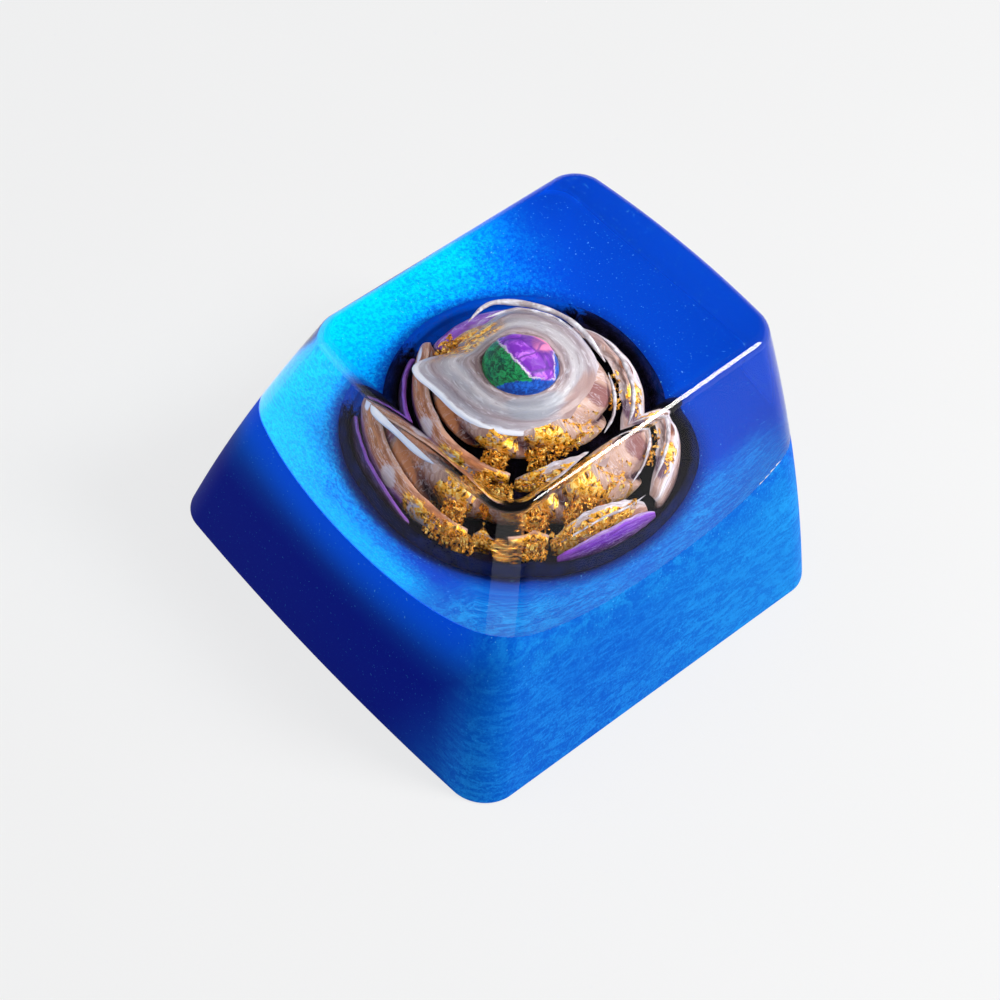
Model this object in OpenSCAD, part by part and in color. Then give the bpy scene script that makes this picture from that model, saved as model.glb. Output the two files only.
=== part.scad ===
// One-unit keycap cast in two resins: a pearl-blue skirt with a cross-stem post underneath,
// and a clear block on top that holds a small curled blossom with a painted bead.
// The front of the cap faces -Y, +Z is up, and the origin is under the middle of the rim.

/* [Cap] */
// Width of the rim, left to right
rim_w = 18; // [17:0.1:19]
// Depth of the rim between its corners, without the arch of the front and back faces
rim_d = 17.7; // [17:0.1:19]
// Width of the top face
top_w = 10.6; // [9.5:0.1:12.5]
// How far the top face's front corners lie in front of the middle
top_front = 5.65; // [5:0.05:7]
// How far the top face's back corners lie behind the middle
top_back = 7.1; // [6:0.05:8]
// Height of the top face at its front edge
front_h = 11.1; // [10:0.1:14]
// Height of the top face at its back edge
back_h = 12; // [10.5:0.1:15]
// Arch of the front and back faces
face_arch = 0.34; // [0.1:0.02:0.6]
// Barrel of the walls half way up
wall_barrel = 0.19; // [0:0.01:0.4]
// Radius of the upright corners at the rim
rim_corner_r = 1.4; // [0.8:0.1:2.5]
// Radius of the upright corners at the top
top_corner_r = 1.1; // [0.8:0.1:2]
// Radius of the edge round the top face
edge_r = 0.3; // [0.15:0.05:0.6]

/* [Resin seam] */
// Height of the pearl resin in the middle of the cap
seam_h = 5.1; // [4.5:0.1:6]
// How much higher the pearl resin stands in the corners, where it crept up the mould
seam_creep = 1.9; // [0.5:0.1:2.4]

/* [Underside] */
// Thickness of the skirt's wall
skirt_t = 1.3; // [1:0.1:2]
// Thickness of the pearl resin over the hollow, in the middle of the cap
roof_t = 0.8; // [0.5:0.1:1.2]
// Diameter of the stem post
post_d = 5.5; // [5.3:0.1:6]
// How far the post ends above the rim
post_recess = 0.2; // [0:0.1:0.6]
// Length of both bars of the cross slot
slot_l = 4.1; // [4:0.02:4.2]
// Width of the cross slot's bar that runs left to right
slot_w = 1.35; // [1.2:0.02:1.4]
// Width of the cross slot's bar that runs front to back
slot_d = 1.17; // [1.1:0.02:1.3]
// How far below the hollow's ceiling the cross slot ends
slot_roof = 0.2; // [0.1:0.1:0.6]
// Chamfer at the foot of the post and at the slot's mouth
lead_in = 0.25; // [0.1:0.05:0.4]

/* [Blossom] */
// Radius of the blossom's dark saucer
cup_r = 5.2; // [4.4:0.1:5.4]
// Height of the saucer's rim above the pearl resin
cup_h = 0.7; // [0.5:0.05:1]
// Thickness of the saucer's floor
cup_t = 0.35; // [0.25:0.05:0.5]
// Radius of the blossom's core
core_r = 3.1; // [2.8:0.1:3.3]
// Height of the core above the pearl resin
core_h = 3; // [2.8:0.1:3.1]
// Height to which the tallest petals reach above the pearl resin
petal_h = 2; // [1.5:0.1:2.3]
// Thickness of a petal at its root
petal_t = 0.42; // [0.3:0.02:0.5]
// Height of the low outer lobes above the pearl resin
lobe_h = 1.15; // [0.8:0.05:1.4]
// Thickness of a lobe at its root
lobe_t = 0.3; // [0.2:0.02:0.36]
// Diameter of the painted bead
bead_d = 3; // [2.4:0.1:3.2]
// Height of the bead's centre above the pearl resin
bead_h = 3.3; // [3.2:0.1:3.6]
// Radius of the collar round the bead
collar_r = 3; // [2.7:0.1:3.2]
// Height of the collar from its lip to its rim round the bead
collar_h = 1.1; // [0.9:0.05:1.2]
// Thickness of the collar
collar_t = 0.4; // [0.3:0.05:0.5]

/* [Hidden] */

// Where the saucer's axis stands in the cap, and how far the core and the bead lean from it
saucer_x = 0.1;
saucer_y = 0.3;
lean_x = -0.35;
lean_y = -0.25;
// One overrun serves all cuts
overrun = 0.5;
round_fn = 64;
// Steps of a corner, of an arched face and of a plain side in the cap's outline
corner_steps = 6;
arch_steps = 8;
side_steps = 6;
// Shares of the wall's height, below and above the seam, at which it has a ring
wall_shares = [0, 0.25, 0.5, 0.75, 1];
// Shares of the way from the middle to the wall at which the seam's surface has a ring
seam_shares = [0.88, 0.74, 0.56, 0.3];
// Angles round the top edge at which it has a ring
edge_angles = [30, 60, 90];
mean_h = (front_h + back_h) / 2;
ceiling_h = seam_h - roof_t;

function mix(a, b, t) = a + (b - a) * t;
function barrel(t) = wall_barrel * 4 * t * (1 - t);
function half_w(t, inset) = mix(rim_w / 2, top_w / 2, t) + barrel(t) - inset;
function front_y(t, inset) = mix(-rim_d / 2, -top_front, t) - barrel(t) + inset;
function back_y(t, inset) = mix(rim_d / 2, top_back, t) + barrel(t) - inset;
function corner_r(t, inset) = max(mix(rim_corner_r, top_corner_r, t) - inset, edge_r);
function steps(a, b, n) = [for (k = [1:n - 1]) mix(a, b, k / n)];

// Height of the top face over a place
function top_z(y) = front_h + (back_h - front_h) * (y + top_front) / (top_back + top_front);

// A point of the plain rounded rectangle, pushed out by the arch of the front and back faces
function arched(p, t, inset) =
    let(
        middle = (front_y(t, inset) + back_y(t, inset)) / 2,
        reach = (back_y(t, inset) - front_y(t, inset)) / 2,
        side = max(-1, min(1, (p[1] - middle) / reach)),
        share = max(0, 1 - pow(p[0] / half_w(t, inset), 2))
    )
    [p[0], p[1] + face_arch * share * side];

// The cap's outline at share t of its height, moved inwards by inset, anticlockwise from the front
function outline(t, inset = 0) =
    let(
        r = corner_r(t, inset),
        w = half_w(t, inset) - r,
        f = front_y(t, inset) + r,
        b = back_y(t, inset) - r,
        bend = [for (k = [0:corner_steps]) 90 * k / corner_steps],
        right_front = [for (a = bend) [w + r * sin(a), f - r * cos(a)]],
        right_back = [for (a = bend) [w + r * cos(a), b + r * sin(a)]],
        left_back = [for (p = right_back) [-p[0], p[1]]],
        left_front = [for (p = right_front) [-p[0], p[1]]],
        plain = concat(
            right_front,
            [for (y = steps(f, b, side_steps)) [w + r, y]],
            right_back,
            [for (x = steps(w, -w, arch_steps)) [x, b + r]],
            [for (k = [corner_steps:-1:0]) left_back[k]],
            [for (y = steps(b, f, side_steps)) [-w - r, y]],
            [for (k = [corner_steps:-1:0]) left_front[k]],
            [for (x = steps(-w, w, arch_steps)) [x, f - r]]
        )
    )
    [for (p = plain) arched(p, t, inset)];

// A ring of wall points, each at its own share of the height
function wall_ring(shares, inset = 0) =
    [for (i = [0:len(shares) - 1])
        let(p = outline(shares[i], inset)[i]) [p[0], p[1], shares[i] * top_z(p[1])]];

// The share of the height that the seam reaches at each point of the outline
half_up = outline(0.5);
outline_count = len(half_up);
corner_reach = max([for (p = half_up) norm(p)]);
creep_power = 4;
seam_rim_shares = [for (p = half_up)
    (seam_h + seam_creep * pow(norm(p) / corner_reach, creep_power)) / top_z(p[1])];
seam_ring = wall_ring(seam_rim_shares);
seam_rings = [for (s = seam_shares)
    [for (p = seam_ring) [p[0] * s, p[1] * s, seam_h + (p[2] - seam_h) * pow(s, creep_power)]]];

// The top edge's rings: inset and drop follow a quarter circle
edge_share = 1 - edge_r / mean_h;
edge_rings = [for (a = edge_angles)
    wall_ring([for (i = [1:outline_count]) 1 - edge_r * (1 - sin(a)) / mean_h], edge_r * (1 - cos(a)))];

// Skins rings of equal length into one closed solid, with flat ends or a pointed last end.
// Two solids that share rings share each facet too, when one of them swaps the diagonals.
// A ring that goes up one side of a thin section and down the other has its ends closed in strips.
module skin(rings, tip = undef, swap = false, strips = false) {
    n = len(rings[0]);
    m = len(rings);
    tip_list = is_undef(tip) ? [] : [tip];
    points = concat([for (r = rings) for (p = r) p], tip_list);
    sides = [for (j = [0:m - 2]) for (i = [0:n - 1])
        let(k = (i + 1) % n, a = j * n + i, b = j * n + k, c = (j + 1) * n + k, d = (j + 1) * n + i)
        each swap ? [[a, d, c], [a, c, b]] : [[a, d, b], [b, d, c]]];
    across = [for (i = [0:n / 2 - 2]) each [[i, i + 1, n - 2 - i], [i, n - 2 - i, n - 1 - i]]];
    end_faces = strips ? across : [[for (i = [0:n - 1]) i]];
    foot = end_faces;
    head = is_undef(tip)
        ? [for (f = end_faces) [for (k = [len(f) - 1:-1:0]) (m - 1) * n + f[k]]]
        : [for (i = [0:n - 1]) [(m - 1) * n + i, m * n, (m - 1) * n + (i + 1) % n]];
    polyhedron(points = points, faces = concat(foot, sides, head), convexity = 6);
}

// The pearl resin as cast, before its hollow
module skirt_block() {
    walls = [for (s = wall_shares) wall_ring(seam_rim_shares * s)];
    skin(concat(walls, seam_rings), [0, 0, seam_h]);
}

// The hollow under the cap, with its walls parallel to the outside
module hollow() {
    levels = [-overrun, 0, ceiling_h / 2, ceiling_h];
    skin([for (z = levels)
        [for (p = outline(max(z, 0) / mean_h, skirt_t)) [p[0], p[1], z]]]);
}

module cross_slot() {
    top = ceiling_h - slot_roof;
    for (bar = [[slot_l, slot_w], [slot_d, slot_l]])
        translate([-bar[0] / 2, -bar[1] / 2, -overrun])
            cube([bar[0], bar[1], top + overrun]);
    translate([0, 0, post_recess - lead_in])
        cylinder(h = 2 * lead_in, r1 = slot_l / 2 + lead_in / 2, r2 = slot_d / 2, $fn = round_fn);
}

module stem_post() {
    difference() {
        union() {
            translate([0, 0, post_recess])
                cylinder(h = lead_in, d1 = post_d - 2 * lead_in, d2 = post_d, $fn = round_fn);
            translate([0, 0, post_recess + lead_in])
                cylinder(h = ceiling_h - post_recess - lead_in + roof_t / 2, d = post_d, $fn = round_fn);
        }
        cross_slot();
    }
}

module skirt() {
    color([0.02, 0.2, 0.8])
        union() {
            difference() {
                skirt_block();
                hollow();
            }
            stem_post();
        }
}

// The clear resin as cast and polished, before the blossom's space is taken out
module clear_cast() {
    below = [for (k = [len(seam_rings) - 1:-1:0]) seam_rings[k]];
    walls = [for (s = wall_shares) wall_ring([for (t = seam_rim_shares) mix(t, edge_share, s)])];
    rings = concat(below, walls, edge_rings);
    upside_down = [for (k = [len(rings) - 1:-1:0]) [for (i = [outline_count - 1:-1:0]) rings[k][i]]];
    skin(upside_down, [0, 0, seam_h], true);
}

module clear_block() {
    color([0.85, 0.93, 1, 0.3])
        difference() {
            clear_cast();
            at_saucer() saucer_form();
            at_core() core_form();
            front_petal_form();
            right_petal_form();
            back_petal_form();
            left_petal_form();
            front_lobe_form();
            right_lobe_form();
            at_core() collar_form();
            at_core() bead_form();
        }
}

module at_saucer() {
    translate([saucer_x, saucer_y, seam_h])
        children();
}

module at_core() {
    translate([saucer_x + lean_x, saucer_y + lean_y, seam_h])
        children();
}

// The saucer: a low round dish whose foot stands on the pearl resin
saucer_profile_shares = [[0.9, 0], [0.97, 0.25], [1, 0.5], [0.985, 0.8], [0.95, 1], [0.91, 0.9]];
saucer_floor_share = 0.895;
module saucer_form() {
    rotate_extrude($fn = round_fn)
        polygon(concat(
            [[0, -overrun], [saucer_profile_shares[0][0] * cup_r, -overrun]],
            [for (p = saucer_profile_shares) [p[0] * cup_r, p[1] * cup_h]],
            [[cup_r * saucer_floor_share, cup_t], [0, cup_t]]
        ));
}

module saucer() {
    color([0.09, 0.05, 0.13])
        difference() {
            at_saucer() saucer_form();
            skirt_block();
        }
}

// The core: a heart that swells from the saucer's floor and closes under the collar
core_profile_shares = [[0.82, 0], [0.95, 0.2], [1, 0.42], [0.97, 0.62], [0.86, 0.82], [0.62, 1]];
module core_form() {
    rotate_extrude($fn = round_fn)
        polygon(concat(
            [[0, cup_t]],
            [for (p = core_profile_shares) [p[0] * core_r, mix(cup_t, core_h, p[1])]],
            [[0, core_h]]
        ));
}

module core() {
    color([0.8, 0.68, 0.62])
        at_core()
            difference() {
                core_form();
                collar_form();
                bead_form();
            }
}

// Where each petal starts and how far it sweeps round the saucer, in degrees
front_sweep = [200, 108];
right_sweep = [312, 66];
back_sweep = [24, 88];
left_sweep = [118, 74];
front_lobe_sweep = [206, 70];
right_lobe_sweep = [318, 60];
// Shares for each petal: of its group's height, of the saucer's radius for the root at both ends and
// for how far the crest leans out and curls in, and of the sweep for the crest's place
front_shares = [1, 0.76, 0.71, 0.02, 0.08, 0.16];
right_shares = [0.95, 0.74, 0.75, 0, 0.07, 0.5];
back_shares = [1, 0.79, 0.76, 0.02, 0.09, 0.45];
left_shares = [0.88, 0.76, 0.76, 0.02, 0.08, 0.5];
front_lobe_shares = [1, 0.855, 0.855, 0, 0.005, 0.45];
right_lobe_shares = [1.05, 0.855, 0.855, 0, 0.005, 0.55];
petal_steps = 12;
petal_rise_shares = [0, 0.35, 0.68, 0.9, 1];
// How much of its thickness a petal loses towards its crest
crest_thin_share = 0.55;
// The petal's ends taper down to this share of its height
petal_end_share = 0.08;
// The lower this power, the squarer the petal's outline
crest_power = 0.6;

// A point of a petal's surface: u runs along it and v up it, and side is 1 outside and -1 inside
function petal_point(sweep, shares, height, thick, u, v, side) =
    let(
        warped = pow(u, ln(0.5) / ln(shares[5])),
        arch = pow(sin(180 * mix(petal_end_share, 1 - petal_end_share, warped)), crest_power),
        half_t = thick / 2 * (1 - crest_thin_share * v * v),
        bend = arch * (shares[3] * v - shares[4] * pow(v, 4)),
        r = cup_r * (mix(shares[1], shares[2], u) + bend) + side * half_t,
        a = sweep[0] + sweep[1] * u
    )
    [r * cos(a), r * sin(a), mix(cup_t, height * shares[0] * arch, v)];

module petal_form(sweep, shares, height, thick) {
    rows = petal_rise_shares;
    count = len(rows);
    rings = [for (k = [0:petal_steps])
        let(u = k / petal_steps)
        concat(
            [for (v = rows) petal_point(sweep, shares, height, thick, u, v, -1)],
            [for (j = [count - 1:-1:0]) petal_point(sweep, shares, height, thick, u, rows[j], 1)]
        )];
    at_saucer() skin(rings, strips = true);
}

module front_petal_form() {
    petal_form(front_sweep, front_shares, petal_h, petal_t);
}

module right_petal_form() {
    petal_form(right_sweep, right_shares, petal_h, petal_t);
}

module back_petal_form() {
    petal_form(back_sweep, back_shares, petal_h, petal_t);
}

module left_petal_form() {
    petal_form(left_sweep, left_shares, petal_h, petal_t);
}

module front_lobe_form() {
    petal_form(front_lobe_sweep, front_lobe_shares, lobe_h, lobe_t);
}

module right_lobe_form() {
    petal_form(right_lobe_sweep, right_lobe_shares, lobe_h, lobe_t);
}

module front_petal() {
    color([0.72, 0.42, 0.25])
        front_petal_form();
}

module right_petal() {
    color([0.85, 0.68, 0.4])
        right_petal_form();
}

module back_petal() {
    color([0.88, 0.8, 0.78])
        back_petal_form();
}

module left_petal() {
    color([0.6, 0.4, 0.66])
        left_petal_form();
}

module front_lobe() {
    color([0.24, 0.1, 0.3])
        front_lobe_form();
}

module right_lobe() {
    color([0.45, 0.18, 0.62])
        right_lobe_form();
}

// The collar: a sloping ring round the bead, drawn out to a tip at the front left
tip_angle = 225;
tip_reach_share = 0.26;
tip_width = 26;
collar_steps = 48;
// Rings from the bead down to the lip and back under it: share of the way out, share of the height
collar_ring_shares = [[0, 0.86], [0.18, 1], [0.5, 0.75], [0.8, 0.4], [0.95, 0.12], [1, 0]];
bead_seat_share = 0.78;
collar_in = bead_d / 2 * bead_seat_share;

// How much further than the plain lip the collar reaches at an angle
function tip_share(a) =
    let(
        turned = abs(a - tip_angle) % 360,
        off = min(turned, 360 - turned)
    )
    tip_reach_share * exp(-pow(off / tip_width, 2));

function collar_ring(share, z) =
    [for (k = [0:collar_steps - 1])
        let(a = 360 * k / collar_steps, r = mix(collar_in, collar_r * (1 + tip_share(a)), share))
        [r * cos(a), r * sin(a), z]];

module collar_form() {
    top = bead_h + collar_t / 2;
    upper = [for (p = collar_ring_shares) collar_ring(p[0], top - collar_h * (1 - p[1]))];
    lower = [for (k = [len(collar_ring_shares) - 2:-1:0])
        let(p = collar_ring_shares[k])
        collar_ring(p[0], top - collar_h * (1 - p[1]) - collar_t)];
    rings = concat(upper, lower);
    skin([for (k = [len(rings) - 1:-1:0]) rings[k]]);
}

module collar() {
    color([0.9, 0.87, 0.88])
        difference() {
            at_core() collar_form();
            at_core() bead_form();
        }
}

module bead_form() {
    translate([0, 0, bead_h])
        sphere(d = bead_d, $fn = round_fn);
}

module bead() {
    color([0.55, 0.2, 0.75])
        at_core() bead_form();
}

skirt();
clear_block();
saucer();
core();
front_petal();
right_petal();
back_petal();
left_petal();
front_lobe();
right_lobe();
collar();
bead();
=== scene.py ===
import math

import bpy
import numpy as np
from mathutils import Matrix, Vector


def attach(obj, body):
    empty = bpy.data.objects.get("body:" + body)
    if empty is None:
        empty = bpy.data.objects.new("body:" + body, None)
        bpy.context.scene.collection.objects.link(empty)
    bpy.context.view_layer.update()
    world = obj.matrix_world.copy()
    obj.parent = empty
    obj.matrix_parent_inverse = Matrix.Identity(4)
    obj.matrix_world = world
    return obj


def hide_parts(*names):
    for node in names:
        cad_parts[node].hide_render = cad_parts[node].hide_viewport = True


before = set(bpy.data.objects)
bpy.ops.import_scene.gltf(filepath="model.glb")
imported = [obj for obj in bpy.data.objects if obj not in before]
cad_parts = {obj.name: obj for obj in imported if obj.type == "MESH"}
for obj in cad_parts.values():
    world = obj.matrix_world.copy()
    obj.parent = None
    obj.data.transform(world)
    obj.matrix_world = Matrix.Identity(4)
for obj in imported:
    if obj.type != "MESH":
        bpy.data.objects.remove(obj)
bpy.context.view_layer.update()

# All the sizes below are in millimetres, and millimetre brings them to the scene's metres.
millimetre = 0.001
chance = np.random.default_rng(20)


# Helpers for numbers and curves


def mix(a, b, t):
    return a + (b - a) * t


def smooth(low, high, value):
    share = np.clip((value - low) / (high - low), 0, 1)
    return share * share * (3 - 2 * share)


def curveThrough(points, count):
    # a Catmull-Rom curve through the points, at evenly spaced parameters
    points = np.asarray(points, float)
    padded = np.vstack([2 * points[0] - points[1], points, 2 * points[-1] - points[-2]])
    place = np.linspace(0, len(points) - 1, count)
    index = np.minimum(place.astype(int), len(points) - 2)
    t = (place - index)[:, None]
    a, b, c, d = (padded[index + k] for k in range(4))
    return 0.5 * (2 * b + (c - a) * t + (2 * a - 5 * b + 4 * c - d) * t**2 + (3 * b - a - 3 * c + d) * t**3)


def waves(angle, seed, strongest=6, count=5):
    # a smooth periodic wobble between about -1 and 1
    draw = np.random.default_rng(seed)
    total = np.zeros_like(angle, dtype=float)
    for k in range(1, count + 1):
        total = total + np.sin(angle * k * strongest / count + draw.uniform(0, 6.28)) / k**0.5
    return total / count**0.5


# Helpers for meshes


def makeMesh(name, points, faces, material, fields=None, sharp=45):
    mesh = bpy.data.meshes.new(name)
    mesh.from_pydata((np.asarray(points) * millimetre).tolist(), [], faces)
    mesh.update()
    mesh.shade_smooth()
    mesh.set_sharp_from_angle(angle=math.radians(sharp))
    for key, values in (fields or {}).items():
        values = np.asarray(values, np.float32)
        kind, slotName = ("FLOAT_VECTOR", "vector") if key == "flow" else ("FLOAT", "value")
        mesh.attributes.new(key, kind, "POINT").data.foreach_set(slotName, values.ravel())
    mesh.materials.append(material)
    made = bpy.data.objects.new(name, mesh)
    bpy.context.scene.collection.objects.link(made)
    return made


def bandFaces(m, n, wrap=False):
    # quads between m rings of n points, facing outwards where the rings run anticlockwise seen from their end
    j, i = np.meshgrid(np.arange(m if wrap else m - 1), np.arange(n), indexing="ij")
    k, after = (i + 1) % n, (j + 1) % m
    return np.stack([j * n + i, j * n + k, after * n + k, after * n + i], -1).reshape(-1, 4).tolist()


def spread(value, m, n):
    # a field's values at each point of m rings of n points
    value = np.asarray(value, float)
    return np.broadcast_to(value, (m, n, 3)).reshape(-1, 3) if value.ndim == 3 else np.broadcast_to(value, (m, n)).ravel()


def ringSurface(name, rings, material, start=None, end=None, fields=None, wrap=False, sharp=45):
    rings = np.asarray(rings, float)
    m, n = rings.shape[:2]
    points, faces = rings.reshape(-1, 3), bandFaces(m, n, wrap)
    fields = {key: spread(value, m, n) for key, value in (fields or {}).items()}
    for tip, row, turn in ((start, 0, 1), (end, m - 1, -1)):
        if tip is not None:
            here = len(points)
            points = np.vstack([points, tip])
            ring = np.arange(n) + row * n
            after = np.roll(ring, -1)
            pair = (after, ring) if turn > 0 else (ring, after)
            faces += [[here, int(a), int(b)] for a, b in zip(*pair)]
            fields = {key: np.concatenate([value, value[ring].mean(0, keepdims=True)]) for key, value in fields.items()}
    return makeMesh(name, points, faces, material, fields, sharp)


def sheetSurface(name, inner, outer, material, fields=None, sharp=60):
    # a thin closed sheet between two grids of points, inner and outer, both (along, up, 3)
    m, half = inner.shape[:2]
    rings = np.concatenate([inner, outer[:, ::-1]], 1)
    n = 2 * half
    faces = bandFaces(m, n)
    for row, turn in ((0, 1), (m - 1, -1)):
        for i in range(half - 1):
            quad = [row * n + i, row * n + n - 1 - i, row * n + n - 2 - i, row * n + i + 1]
            faces.append(quad if turn < 0 else quad[::-1])
    doubled = {}
    for key, value in (fields or {}).items():
        value = np.asarray(value, float)
        whole = np.broadcast_to(value, (m, half, 3) if value.ndim == 3 else (m, half))
        doubled[key] = np.concatenate([whole, whole[:, ::-1]], 1)
    return makeMesh(name, rings.reshape(-1, 3), faces, material, doubled, sharp)


def joined(pieces):
    # puts several (points, faces) lists into one
    points, faces, base = [], [], 0
    for some, polygons in pieces:
        points.append(some)
        faces += [[v + base for v in p] for p in polygons]
        base += len(some)
    return np.vstack(points), faces


def tubeMesh(path, radii, sides=8):
    # a closed tube along a path, with a radius at each of its points
    path = np.asarray(path, float)
    along = np.gradient(path, axis=0)
    along /= np.linalg.norm(along, axis=1)[:, None]
    across = np.cross(along, [0.13, 0.21, 0.97])
    across /= np.linalg.norm(across, axis=1)[:, None]
    other = np.cross(along, across)
    a = np.linspace(0, 2 * np.pi, sides, endpoint=False)
    ring = np.cos(a)[None, :, None] * across[:, None] + np.sin(a)[None, :, None] * other[:, None]
    rings = path[:, None] + ring * np.asarray(radii)[:, None, None]
    m = len(path)
    caps = [[*range(sides)][::-1], [(m - 1) * sides + k for k in range(sides)]]
    return rings.reshape(-1, 3), bandFaces(m, sides) + caps


def put(piece, slot, *nodes):
    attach(piece, "root")
    if nodes:
        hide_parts(*nodes)
    return piece


# Helpers for materials


def newMaterial(name):
    made = bpy.data.materials.new(name)
    made.use_nodes = True
    made.node_tree.nodes.clear()
    return made


def node(material, kind, inputs=None, **settings):
    made = material.node_tree.nodes.new(kind)
    for key, value in settings.items():
        setattr(made, key, value)
    for key, value in (inputs or {}).items():
        socket = made.inputs[key]
        if isinstance(value, bpy.types.NodeSocket):
            material.node_tree.links.new(value, socket)
        else:
            socket.default_value = value
    return made


def calc(material, operation, a, b=0.0, c=0.0, clamp=False):
    made = node(material, "ShaderNodeMath", {0: a, 1: b, 2: c}, operation=operation, use_clamp=clamp)
    return made.outputs[0]


def stepped(material, value, low, high):
    # 0 under low, 1 over high and smooth between them
    made = node(material, "ShaderNodeMapRange", {"Value": value, "From Min": low, "From Max": high}, interpolation_type="SMOOTHSTEP")
    return made.outputs["Result"]


def blend(material, share, a, b, how="MIX"):
    made = node(material, "ShaderNodeMix", data_type="RGBA", blend_type=how)
    for socket, value in ((made.inputs[0], share), (made.inputs[6], a), (made.inputs[7], b)):
        if isinstance(value, bpy.types.NodeSocket):
            material.node_tree.links.new(value, socket)
        elif isinstance(value, tuple):
            socket.default_value = (*value, 1)
        else:
            socket.default_value = value
    return made.outputs[2]


def objectPlace(material, scale=(1, 1, 1)):
    # Object coordinates, stretched
    place = node(material, "ShaderNodeTexCoord").outputs["Object"]
    return node(material, "ShaderNodeVectorMath", {0: place, 1: scale}, operation="MULTIPLY").outputs[0]


def noise(material, scale, detail=3.0, rough=0.5, twist=0.0, stretch=(1, 1, 1), place=None):
    if place is None:
        place = objectPlace(material, stretch)
    else:
        place = node(material, "ShaderNodeVectorMath", {0: place, 1: stretch}, operation="MULTIPLY").outputs[0]
    inputs = {"Vector": place, "Scale": scale, "Detail": detail, "Roughness": rough, "Distortion": twist}
    return node(material, "ShaderNodeTexNoise", inputs).outputs["Fac"]


def flowPlace(material):
    # the piece's own lengthwise and upward coordinates, in millimetres
    return node(material, "ShaderNodeAttribute", attribute_name="flow").outputs["Vector"]


def ramp(material, value, stops):
    made = node(material, "ShaderNodeValToRGB", {"Fac": value})
    elements = made.color_ramp.elements
    elements[0].position, elements[-1].position = stops[0][0], stops[-1][0]
    elements[0].color, elements[-1].color = (*stops[0][1], 1), (*stops[-1][1], 1)
    for position, colour in stops[1:-1]:
        elements.new(position).color = (*colour, 1)
    return made.outputs["Color"]


def turnOf(material, flow):
    # the angle round a round piece as a share of a turn, with no seam
    parts = node(material, "ShaderNodeSeparateXYZ", {0: flow}).outputs
    return calc(material, "MULTIPLY", calc(material, "ARCTAN2", parts["Y"], parts["X"]), 1 / (2 * math.pi))


def turnFrom(material, turn, centre):
    # how far a share of a turn is from another, the short way round
    off = calc(material, "SUBTRACT", turn, centre)
    return calc(material, "SUBTRACT", off, calc(material, "ROUND", off))


def patch(material, along, up, jitter, spot, closed=False):
    # 1 inside a soft ellipse of the piece's own coordinates: spot is its middle and its half sizes
    off = turnFrom(material, along, spot[0]) if closed else calc(material, "SUBTRACT", along, spot[0])
    a = calc(material, "MULTIPLY", off, 1 / spot[1])
    b = calc(material, "MULTIPLY", calc(material, "SUBTRACT", up, spot[2]), 1 / spot[3])
    far = calc(material, "ADD", calc(material, "MULTIPLY", a, a), calc(material, "MULTIPLY", b, b))
    return calc(material, "SUBTRACT", 1.0, stepped(material, calc(material, "ADD", far, jitter), 0.55, 1.15))


def field(material, key):
    return node(material, "ShaderNodeAttribute", attribute_name=key).outputs["Fac"]


def finish(material, inputs, bump=None, strength=0.3, depth=0.00005):
    # the Principled shader with its inputs, and a bump from a height
    shader = node(material, "ShaderNodeBsdfPrincipled", inputs)
    if bump is not None:
        lift = node(material, "ShaderNodeBump", {"Height": bump, "Strength": strength, "Distance": depth})
        material.node_tree.links.new(lift.outputs[0], shader.inputs["Normal"])
    out = node(material, "ShaderNodeOutputMaterial")
    material.node_tree.links.new(shader.outputs[0], out.inputs[0])
    return material


# The cap's outline, the same as in the part's source

cap = {
    "rimW": 18,
    "rimD": 17.7,
    "topW": 10.6,
    "topFront": 5.65,
    "topBack": 7.1,
    "frontH": 11.1,
    "backH": 12,
    "faceArch": 0.34,
    "wallBarrel": 0.19,
    "rimCornerR": 1.4,
    "topCornerR": 1.1,
    "edgeR": 0.3,
    "seamH": 5.1,
    "seamCreep": 1.9,
    "skirtT": 1.3,
    "ceilingH": 4.3,
    "postR": 2.75,
    "postRecess": 0.2,
    "slotL": 4.1,
    "slotW": 1.35,
    "slotD": 1.17,
    "slotTop": 4.1,
    "rimRound": 0.12,
    "filletR": 0.35,
    "leadIn": 0.2,
}
cornerCount, sideCount = 24, 40


def outlineLayout():
    # per point: which corner's middle it belongs to, and its direction from there
    bend = np.linspace(0, np.pi / 2, cornerCount)
    go = np.linspace(0, 1, sideCount + 2)[1:-1]
    one, nil = np.ones(cornerCount), np.zeros(cornerCount)
    flat, none = np.ones(sideCount), np.zeros(sideCount)
    parts = [
        (one, np.sin(bend), nil, -np.cos(bend)),
        (flat, flat, go, none),
        (one, np.cos(bend), one, np.sin(bend)),
        (1 - 2 * go, none, flat, flat),
        (-one, -np.sin(bend), one, np.cos(bend)),
        (-flat, -flat, 1 - go, none),
        (-one, -np.cos(bend), nil, -np.sin(bend)),
        (2 * go - 1, none, none, -flat),
    ]
    return [np.concatenate(column) for column in zip(*parts)]


layAcross, turnAcross, layBack, turnBack = outlineLayout()


def outline(t, inset=0.0):
    barrel = cap["wallBarrel"] * 4 * t * (1 - t)
    halfW = mix(cap["rimW"] / 2, cap["topW"] / 2, t) + barrel - inset
    front = mix(-cap["rimD"] / 2, -cap["topFront"], t) - barrel + inset
    back = mix(cap["rimD"] / 2, cap["topBack"], t) + barrel - inset
    r = np.maximum(mix(cap["rimCornerR"], cap["topCornerR"], t) - inset, cap["edgeR"])
    x = layAcross * (halfW - r) + turnAcross * r
    y = mix(front + r, back - r, layBack) + turnBack * r
    middle, reach = (front + back) / 2, (back - front) / 2
    side = np.clip((y - middle) / reach, -1, 1)
    y = y + cap["faceArch"] * np.maximum(0, 1 - (x / halfW) ** 2) * side
    return x, y


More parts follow.
